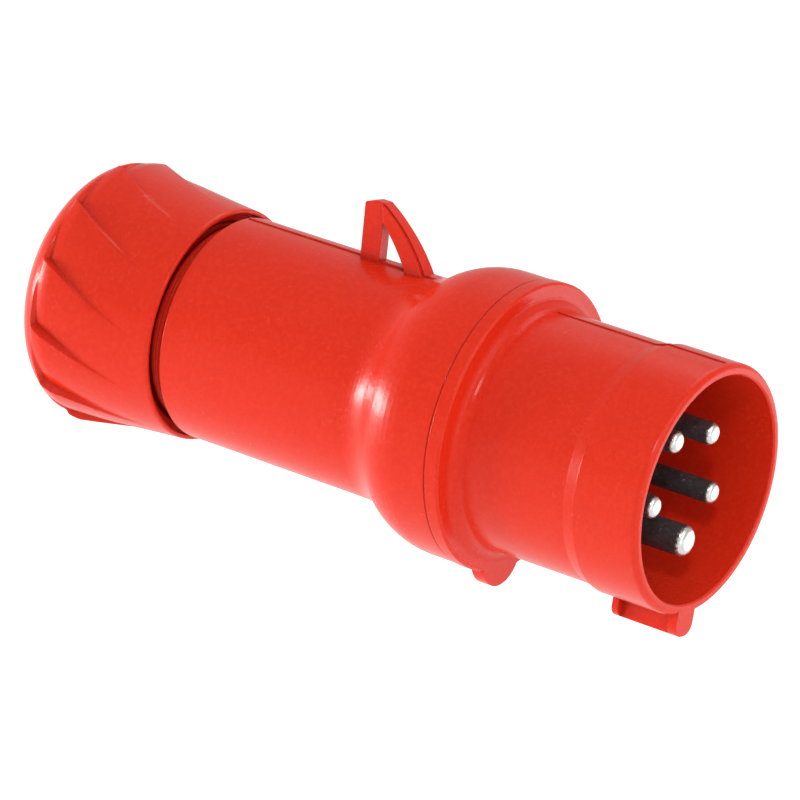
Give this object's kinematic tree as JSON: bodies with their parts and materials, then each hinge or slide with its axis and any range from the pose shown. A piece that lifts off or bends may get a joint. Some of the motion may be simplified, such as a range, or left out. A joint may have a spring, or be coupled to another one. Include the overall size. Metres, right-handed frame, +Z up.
{
  "type": "industrial pin and sleeve plug",
  "caption": "Round red industrial plug with a keyed sleeve around its contact pins, a stepped grip, a hanging loop and a swept gland nut for the cable.",
  "frame": {"origin": "centre of the sleeve's mouth, on the common axis", "axes": "+X out of the mouth along the pins, +Z up to the hanging loop, with the key, the earth pin and the lug at -Z"},
  "size_m": [0.1685, 0.0654, 0.075],
  "materials": {
    "red_plastic": "fine-grained moulded red, a little glossy on edges",
    "dark_plastic": "plain moulded dark grey",
    "seal_rubber": "matte black",
    "pin_metal": "nickel-plated brass",
    "screw_steel": "zinc-plated steel"
  },
  "bodies": {
    "housing": {"sleeve": "red_plastic", "rear_housing": "red_plastic", "flange_gasket": "seal_rubber", "contact_carrier": "dark_plastic", "carrier_retainer": "dark_plastic", "retainer_screw_left": "screw_steel", "retainer_screw_right": "screw_steel", "pin_earth": "pin_metal", "pin_line_1": "pin_metal", "pin_line_2": "pin_metal", "pin_line_3": "pin_metal", "pin_neutral": "pin_metal", "terminal_screw_earth": "screw_steel", "terminal_screw_line_1": "screw_steel", "terminal_screw_line_2": "screw_steel", "terminal_screw_line_3": "screw_steel", "terminal_screw_neutral": "screw_steel", "cable_seal": "seal_rubber", "grip_cage": "dark_plastic"},
    "ring": {"thrust_ring": "dark_plastic"},
    "nut": {"gland_nut": "red_plastic"}
  },
  "joints": [
    {"name": "ring_slide", "type": "slide", "parent": "housing", "child": "ring", "axis": [1, 0, 0], "range_m": [-0.0075, 0.0015]},
    {"name": "nut_turn", "type": "hinge", "parent": "ring", "child": "nut", "pos_m": [-0.15, 0, 0], "axis": [1, 0, 0], "range_deg": [-900, 180]}
  ],
  "couplings": [
    {"joint": "ring_slide", "follows": "nut_turn", "m_per_rad": 0.00047746}
  ]
}
